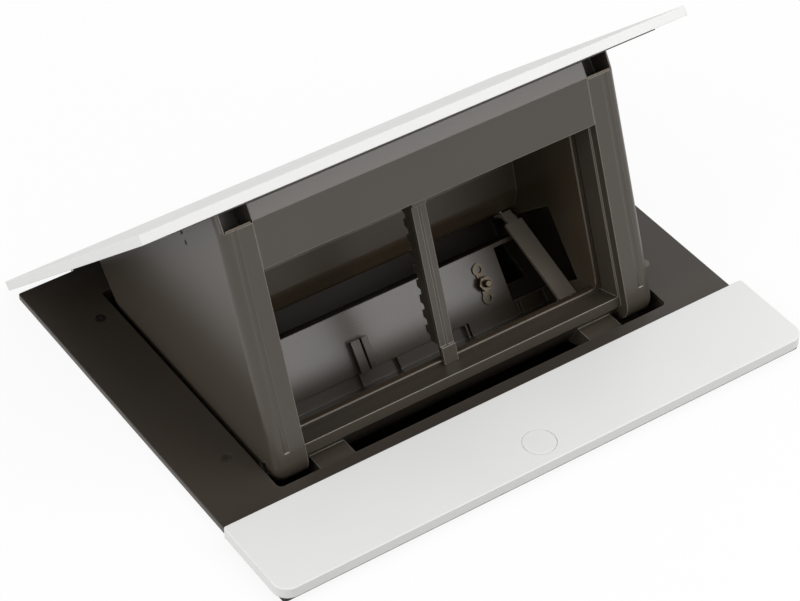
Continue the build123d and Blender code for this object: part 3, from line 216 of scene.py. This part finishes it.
def deskTopMaterial(s):
    material, tree = newMaterial("deskTopPaint")  # matt white paint on board
    paint = addNode(tree, "ShaderNodeBsdfPrincipled",
                    {"Base Color": toLinear(s["floor"]), "Roughness": s["floorRoughness"],
                     "Specular IOR Level": s["floorSpecular"]})
    glow = addNode(tree, "ShaderNodeEmission", {"Color": toLinear(s["sky"]), "Strength": 1.0})
    seen = seenPlainly(tree)
    where = addNode(tree, "ShaderNodeTexCoord")
    reach = addNode(tree, "ShaderNodeVectorMath", {"operation": "LENGTH"}, {0: where.outputs["Object"]})
    fade = addNode(tree, "ShaderNodeMapRange",
                   {"interpolation_type": "SMOOTHSTEP", "From Min": s["shadowReach"][0],
                    "From Max": s["shadowReach"][1], "To Min": s["plainShare"]}, {"Value": reach.outputs["Value"]})
    share = addNode(tree, "ShaderNodeMath", {"operation": "MULTIPLY"},
                    {0: seen.outputs[0], 1: fade.outputs["Result"]})
    dull = addNode(tree, "ShaderNodeBsdfDiffuse", {"Color": toLinear(s["floorBounce"])})
    base = addNode(tree, "ShaderNodeMixShader",
                   links={0: seen.outputs[0], 1: dull.outputs[0], 2: paint.outputs[0]})
    mix = addNode(tree, "ShaderNodeMixShader", links={0: share.outputs[0], 1: base.outputs[0], 2: glow.outputs[0]})
    addNode(tree, "ShaderNodeOutputMaterial", links={"Surface": mix.outputs[0]})
    return material


def wellMaterial(s):
    material, tree = newMaterial("wellPaint")
    paint = addNode(tree, "ShaderNodeBsdfPrincipled",
                    {"Base Color": toLinear(s["well"]), "Roughness": s["wellRoughness"],
                     "Specular IOR Level": s["wellSpecular"]})
    addNode(tree, "ShaderNodeOutputMaterial", links={"Surface": paint.outputs["BSDF"]})
    return material


def makeDesk(s):
    half = s["floorSize"] / 2
    holeX, holeY, depth = s["cutOut"][0] / 2, s["cutOut"][1] / 2, s["cutOut"][2]
    corners = ((-1, -1), (1, -1), (1, 1), (-1, 1))
    rim = [(x * holeX, y * holeY, 0.0) for x, y in corners]
    sides = [(i, (i + 1) % 4, 4 + (i + 1) % 4, 4 + i) for i in range(4)]
    mesh = bpy.data.meshes.new("floor")
    mesh.from_pydata([(x * half, y * half, 0.0) for x, y in corners] + rim, [], sides)
    floor = newObject("floor", mesh, deskTopMaterial(s))

    # the closed box hangs in this well, and what shows of it past the open box is dark
    mesh = bpy.data.meshes.new("well")
    mesh.from_pydata(rim + [(x, y, -depth) for x, y, z in rim], [], sides + [(4, 5, 6, 7)])
    well = newObject("well", mesh, wellMaterial(s))


makeSky(studioSettings)
makeSoftBoxes(studioSettings)
makeDesk(studioSettings)
print("studio lit")


# materials

# bevel samples, and where the painted edge highlight begins and where it is full
edgeRoundingAndHighlightSettings = {"samples": 8, "alike": 0.995, "apart": 0.86}  # cosines of the rounded normal with the face's own


def coatMaterial(name, s):
    # a sprayed or moulded skin: slow colour drift, fine grain in the gloss, and a bump of real scale
    material, tree = newMaterial(name)
    where = addNode(tree, "ShaderNodeTexCoord")
    drift = addNode(tree, "ShaderNodeTexNoise", {"Scale": perMetre(s["driftSize"]), "Detail": 3.0},
                    {"Vector": where.outputs["Object"]})
    colour = addNode(tree, "ShaderNodeMix",
                     {"data_type": "RGBA", 6: toLinear(s["colours"][0]), 7: toLinear(s["colours"][1])},
                     {"Factor": drift.outputs["Fac"]})
    # no real edge is knife sharp
    edge = addNode(tree, "ShaderNodeBevel", {"samples": edgeRoundingAndHighlightSettings["samples"], "Radius": s["edge"]})
    if "paintedEdgeHighlight" in s:
        # where the rounded normal leaves the face's own, the skin is drawn lighter: a painted edge highlight
        flat = addNode(tree, "ShaderNodeNewGeometry")
        alike = addNode(tree, "ShaderNodeVectorMath", {"operation": "DOT_PRODUCT"},
                        {0: edge.outputs["Normal"], 1: flat.outputs["True Normal"]})
        paintedEdgeHighlightMask = addNode(tree, "ShaderNodeMapRange",
                         {"From Min": edgeRoundingAndHighlightSettings["alike"], "From Max": edgeRoundingAndHighlightSettings["apart"],
                          "To Max": s["paintedEdgeHighlightShare"]}, {"Value": alike.outputs["Value"]})
        colour = addNode(tree, "ShaderNodeMix", {"data_type": "RGBA", 7: toLinear(s["paintedEdgeHighlight"])},
                         {"Factor": paintedEdgeHighlightMask.outputs["Result"], 6: colour.outputs[2]})
    grain = addNode(tree, "ShaderNodeTexNoise",
                    {"Scale": perMetre(s["grainSize"]), "Detail": 2.0, "Roughness": 0.55},
                    {"Vector": where.outputs["Object"]})
    gloss = addNode(tree, "ShaderNodeMapRange",
                    {"To Min": s["roughness"][0], "To Max": s["roughness"][1]}, {"Value": grain.outputs["Fac"]})
    roughness = gloss.outputs["Result"]
    if "deep" in s:
        # between these two places, front to back, the skin turns duller, and darker by painted shade
        place = addNode(tree, "ShaderNodeSeparateXYZ", links={0: where.outputs["Object"]})
        deep = addNode(tree, "ShaderNodeMapRange",
                       {"interpolation_type": "SMOOTHSTEP", "From Min": s["deep"][0], "From Max": s["deep"][1]},
                       {"Value": place.outputs["Y"]})
        dull = addNode(tree, "ShaderNodeMix", {"data_type": "FLOAT", 3: s["deepRoughness"]},
                       {0: deep.outputs["Result"], 2: roughness})
        roughness = dull.outputs[0]
        colour = addNode(tree, "ShaderNodeMix", {"data_type": "RGBA", 7: toLinear(s["deepColour"])},
                         {"Factor": deep.outputs["Result"], 6: colour.outputs[2]})
    bump = addNode(tree, "ShaderNodeBump", {"Strength": s["bump"], "Distance": s["bumpDepth"]},
                   {"Height": grain.outputs["Fac"], "Normal": edge.outputs["Normal"]})
    skin = addNode(tree, "ShaderNodeBsdfPrincipled", {"IOR": s["ior"]},
                   {"Base Color": colour.outputs[2], "Roughness": roughness, "Normal": bump.outputs["Normal"]})
    addNode(tree, "ShaderNodeOutputMaterial", links={"Surface": skin.outputs["BSDF"]})
    return material


def metalMaterial(name, s):
    # plated metal: the plating's tone wanders a little, and rolling or turning leaves a fine grain one way
    material, tree = newMaterial(name)
    where = addNode(tree, "ShaderNodeTexCoord")
    drift = addNode(tree, "ShaderNodeTexNoise", {"Scale": perMetre(s["driftSize"]), "Detail": 4.0},
                    {"Vector": where.outputs["Object"]})
    colour = addNode(tree, "ShaderNodeMix",
                     {"data_type": "RGBA", 6: toLinear(s["colours"][0]), 7: toLinear(s["colours"][1])},
                     {"Factor": drift.outputs["Fac"]})
    stretch = addNode(tree, "ShaderNodeMapping", {"Scale": s["grainStretch"]}, {"Vector": where.outputs["Object"]})
    grain = addNode(tree, "ShaderNodeTexNoise", {"Scale": perMetre(s["grainSize"]), "Detail": 3.0},
                    {"Vector": stretch.outputs["Vector"]})
    gloss = addNode(tree, "ShaderNodeMapRange",
                    {"To Min": s["roughness"][0], "To Max": s["roughness"][1]}, {"Value": grain.outputs["Fac"]})
    bump = addNode(tree, "ShaderNodeBump", {"Strength": s["bump"], "Distance": s["bumpDepth"]},
                   {"Height": grain.outputs["Fac"]})
    skin = addNode(tree, "ShaderNodeBsdfPrincipled", {"Metallic": 1.0},
                   {"Base Color": colour.outputs[2], "Roughness": gloss.outputs["Result"],
                    "Normal": bump.outputs["Normal"]})
    addNode(tree, "ShaderNodeOutputMaterial", links={"Surface": skin.outputs["BSDF"]})
    return material


# polyester powder coat on cast aluminium, sprayed and baked: satin white with a fine orange peel
whiteCoat = coatMaterial("whitePowderCoat", {
    "colours": ("#e2e2e0", "#e8e8e7"), "driftSize": 60 * mm, "grainSize": 0.9 * mm, "edge": 0.5 * mm,
    "roughness": (0.36, 0.46), "bump": 0.25, "bumpDepth": 0.03 * mm, "ior": 1.5})

# ABS, moulded and left as it comes from the mould: a little softer than the coat around it
whiteAbs = coatMaterial("whiteMouldedAbs", {
    "colours": ("#e1e1df", "#e7e7e5"), "driftSize": 20 * mm, "grainSize": 0.7 * mm, "edge": 0.3 * mm,
    "roughness": (0.42, 0.5), "bump": 0.2, "bumpDepth": 0.02 * mm, "ior": 1.53})

# dark brown-grey powder coat on sheet steel: matt, with a fine sandy texture
# its edges carry a lighter painted highlight
darkCoat = coatMaterial("darkPowderCoatedSteel", {
    "colours": ("#302a23", "#383129"), "driftSize": 45 * mm, "grainSize": 0.8 * mm, "edge": 0.4 * mm,
    "roughness": (0.40, 0.5), "bump": 0.3, "bumpDepth": 0.04 * mm, "ior": 1.5,
    "paintedEdgeHighlight": "#8d877e", "paintedEdgeHighlightShare": 0.5})

# ABS with a spark eroded mould texture, drawn at 0.8 mm where the real one is 0.3, so that it shows
# its edges carry a lighter painted highlight
darkAbs = coatMaterial("darkTexturedAbs", {
    "colours": ("#3d3730", "#453e35"), "driftSize": 50 * mm, "grainSize": 0.8 * mm, "edge": 0.8 * mm,
    "roughness": (0.27, 0.36), "bump": 0.16, "bumpDepth": 0.02 * mm, "ior": 1.53,
    "paintedEdgeHighlight": "#a39c92", "paintedEdgeHighlightShare": 0.6})

# the same kind of ABS for the inner tub, warmer: glossy at the back plates, duller in the depth behind
# and darkened there by painted shade; its edges carry a lighter painted highlight
tubAbs = coatMaterial("darkTubAbs", {
    "colours": ("#3b3226", "#443a2d"), "driftSize": 50 * mm, "grainSize": 0.8 * mm, "edge": 0.6 * mm,
    "roughness": (0.25, 0.33), "bump": 0.16, "bumpDepth": 0.02 * mm, "ior": 1.53,
    "paintedEdgeHighlight": "#a39c92", "paintedEdgeHighlightShare": 0.4, "deep": (12 * mm, 48 * mm), "deepColour": "#231d14",
    "deepRoughness": 0.72})

# ABS drawn a lighter grey brown for the strap over the cables: the lightness is painted light, standing in for the
# light that falls on it
paintedLightStrapAbs = coatMaterial("strapAbsPaintedLight", {
    "colours": ("#837a6e", "#8c8377"), "driftSize": 20 * mm, "grainSize": 0.8 * mm, "edge": 0.4 * mm,
    "roughness": (0.34, 0.44), "bump": 0.16, "bumpDepth": 0.02 * mm, "ior": 1.53})

# nitrile rubber, pressed: nearly black and dull
blackRubber = coatMaterial("blackNitrileRubber", {
    "colours": ("#1c1b1a", "#242321"), "driftSize": 15 * mm, "grainSize": 0.6 * mm, "edge": 0.3 * mm,
    "roughness": (0.72, 0.85), "bump": 0.3, "bumpDepth": 0.04 * mm, "ior": 1.52})

# cold rolled steel with a zinc plating, clear passivated: grey silver with a faint rolling grain
zincSteel = metalMaterial("zincPlatedSteel", {
    "colours": ("#b9bab8", "#c9c9c4"), "driftSize": 8 * mm, "grainSize": 0.35 * mm,
    "grainStretch": (0.12, 1.0, 1.0), "roughness": (0.28, 0.42), "bump": 0.2, "bumpDepth": 0.01 * mm})

# spring steel, oil blackened: a dark brown-grey metal with a soft shine
blackenedSteel = metalMaterial("blackenedSpringSteel", {
    "colours": ("#4a443d", "#5a534b"), "driftSize": 6 * mm, "grainSize": 0.3 * mm,
    "grainStretch": (0.15, 1.0, 1.0), "roughness": (0.34, 0.46), "bump": 0.2, "bumpDepth": 0.01 * mm})

# zinc plating with a black passivation, as on countersunk machine screws: dark grey with a soft shine
blackZinc = metalMaterial("blackPassivatedZinc", {
    "colours": ("#5f5b54", "#756f66"), "driftSize": 3 * mm, "grainSize": 0.3 * mm,
    "grainStretch": (1.0, 1.0, 0.3), "roughness": (0.34, 0.48), "bump": 0.2, "bumpDepth": 0.01 * mm})

# brass with nickel plating, from a turned bar: warm silver
nickelBrass = metalMaterial("nickelPlatedBrass", {
    "colours": ("#8f8779", "#a39a8a"), "driftSize": 5 * mm, "grainSize": 0.3 * mm,
    "grainStretch": (1.0, 1.0, 0.3), "roughness": (0.24, 0.36), "bump": 0.15, "bumpDepth": 0.01 * mm})

# stamped brass strip, drawn near black brown
darkBrass = metalMaterial("nearBlackBrass", {
    "colours": ("#3f3931", "#574f44"), "driftSize": 4 * mm, "grainSize": 0.25 * mm,
    "grainStretch": (1.0, 0.3, 1.0), "roughness": (0.26, 0.4), "bump": 0.15, "bumpDepth": 0.01 * mm})

finishes = {
    "white_coat": whiteCoat,
    "white_button": whiteAbs,
    "dark_coat": darkCoat,
    "dark_plastic": darkAbs,
    "black_rubber": blackRubber,
    "brass_terminal": nickelBrass,
    "steel": zincSteel,
}
slotOf = {part["node"]: part["material_slot"] for part in frame["record"]["subparts"]}
ownFinish = {  # nodes that differ from the rest of their slot
    "striker_left": blackenedSteel,
    "striker_right": blackenedSteel,
    "earth_clip": darkBrass,
    "earth_stud": darkBrass,
    "earth_nut": darkBrass,
    "socket_tub": tubAbs,
    "cable_strap": paintedLightStrapAbs,
    "plate_screw_1": blackZinc,
    "plate_screw_2": blackZinc,
    "plate_screw_3": blackZinc,
    "plate_screw_4": blackZinc,
}
for name, node in frame["nodes"].items():
    node.data.materials.clear()
    node.data.materials.append(ownFinish.get(name, finishes[slotOf[name]]))
print("materials given to the cad nodes")


# coil springs: round wire wound as a helix with flat closed ends

def makeCoil(name, start, end, s):
    # start and end are the ends of the coil's axis, in metres
    start, end = Vector(start), Vector(end)
    along = (end - start).normalized()
    side = along.cross(Vector((0, 0, 1))).normalized()
    other = along.cross(side)
    length = (end - start).length - s["wire"]
    steps = int(s["turns"] * s["stepsPerTurn"])
    closed = s["closedTurns"]
    # the end turns lie side by side, the others share the rest of the length
    pitch = (length - 2 * closed * s["wire"]) / (s["turns"] - 2 * closed)
    mesh = bmesh.new()
    rings = []
    for i in range(steps + 1):
        turn = s["turns"] * i / steps
        if turn < closed:
            run = turn * s["wire"]
        elif turn > s["turns"] - closed:
            run = length - (s["turns"] - turn) * s["wire"]
        else:
            run = closed * s["wire"] + (turn - closed) * pitch
        angle = math.tau * turn
        out = side * math.cos(angle) + other * math.sin(angle)
        centre = start + along * (run + s["wire"] / 2) + out * (s["radius"] - s["wire"] / 2)
        ring = []
        for k in range(s["wireSides"]):
            a = math.tau * k / s["wireSides"]
            ring.append(mesh.verts.new(centre + (out * math.cos(a) + along * math.sin(a)) * s["wire"] / 2))
        rings.append(ring)
    skinRings(mesh, rings)
    piece = newObject(name, mesh, zincSteel)
    for face in piece.data.polygons:
        face.use_smooth = len(face.vertices) == 4  # all but the two flat ends
    return piece


torsionSettings = {"wire": 0.68 * mm, "radius": 1.79 * mm, "turns": 44, "closedTurns": 2,
                   "stepsPerTurn": 20, "wireSides": 8}
latchSpringSettings = {"wire": 0.45 * mm, "radius": 1.69 * mm, "turns": 9, "closedTurns": 1,
                       "stepsPerTurn": 24, "wireSides": 8}

for side in ("left", "right"):
    node = f"torsion_spring_{side}"
    low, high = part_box(node)
    middle = (low + high) / 2
    coil = makeCoil(f"torsion_coil_{side}", (low.x, middle.y, middle.z), (high.x, middle.y, middle.z),
                    torsionSettings)
    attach(coil, "base")
    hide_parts(node)

    node = f"latch_spring_{side}"
    low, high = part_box(node)
    middle = (low + high) / 2
    coil = makeCoil(f"latch_coil_{side}", (middle.x, low.y, middle.z), (middle.x, high.y, middle.z),
                    latchSpringSettings)
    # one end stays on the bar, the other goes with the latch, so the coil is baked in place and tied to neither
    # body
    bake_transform(coil)
    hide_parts(node)
print("springs wound")


# rings and strips swept along a level outline, for the seals

def sweepOutline(name, outline, profile, closed, material):
    # outline holds points (x, y) with their outward directions, profile holds (out, z) corners
    mesh = bmesh.new()
    rings = [[mesh.verts.new((x + outX * out, y + outY * out, z)) for out, z in profile]
             for x, y, outX, outY in outline]
    skinRings(mesh, rings, closed)
    piece = newObject(name, mesh, material)
    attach(piece, "base")
    return piece


# white wiper ring in the gap round the release button
buttonSealSettings = {"inner": 8.43 * mm, "outer": 8.58 * mm, "below": 0.22 * mm, "deep": 1.2 * mm,
                      "lip": 0.05 * mm, "steps": 96}


def makeButtonSeal(s):
    low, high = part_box("release_button")
    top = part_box("front_bar")[1].z - s["below"]
    middle = (low + high) / 2
    outline = []
    for i in range(s["steps"]):
        a = math.tau * i / s["steps"]
        outline.append((middle.x + s["inner"] * math.cos(a), middle.y + s["inner"] * math.sin(a),
                        math.cos(a), math.sin(a)))
    thick = s["outer"] - s["inner"]
    profile = ((0.0, top - s["deep"]), (thick, top - s["deep"]), (thick, top - s["lip"]), (thick / 2, top),
               (0.0, top - s["lip"]))
    sweepOutline("button_seal", outline, profile, True, whiteAbs)


# black bead on the plate's edge below the bar: it shows as the thin dark line under the white edge
edgeBeadSettings = {"thick": 0.35 * mm, "shoulder": 0.245 * mm, "low": 1.3 * mm, "high": 4.1 * mm,
                    "corner": 1.5 * mm, "cornerSteps": 6}


def makeEdgeBead(s):
    low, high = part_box("base_plate")
    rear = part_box("front_bar")[1].y
    r = s["corner"]
    outline = [(low.x, rear, -1.0, 0.0)]
    for centreX, start in ((low.x + r, 180), (high.x - r, 270)):  # degrees, round the two front corners
        for i in range(s["cornerSteps"] + 1):
            a = math.radians(start + 90 * i / s["cornerSteps"])
            outline.append((centreX + r * math.cos(a), low.y + r + r * math.sin(a), math.cos(a), math.sin(a)))
    outline.append((high.x, rear, 1.0, 0.0))
    thick, shoulder, bottom, top = s["thick"], s["shoulder"], s["low"], s["high"]
    profile = ((0.0, bottom), (shoulder, bottom), (thick, bottom + thick), (thick, top - thick), (shoulder, top),
               (0.0, top))
    sweepOutline("edge_bead", outline, profile, False, blackRubber)


makeButtonSeal(buttonSealSettings)
makeEdgeBead(edgeBeadSettings)
print("seals laid")
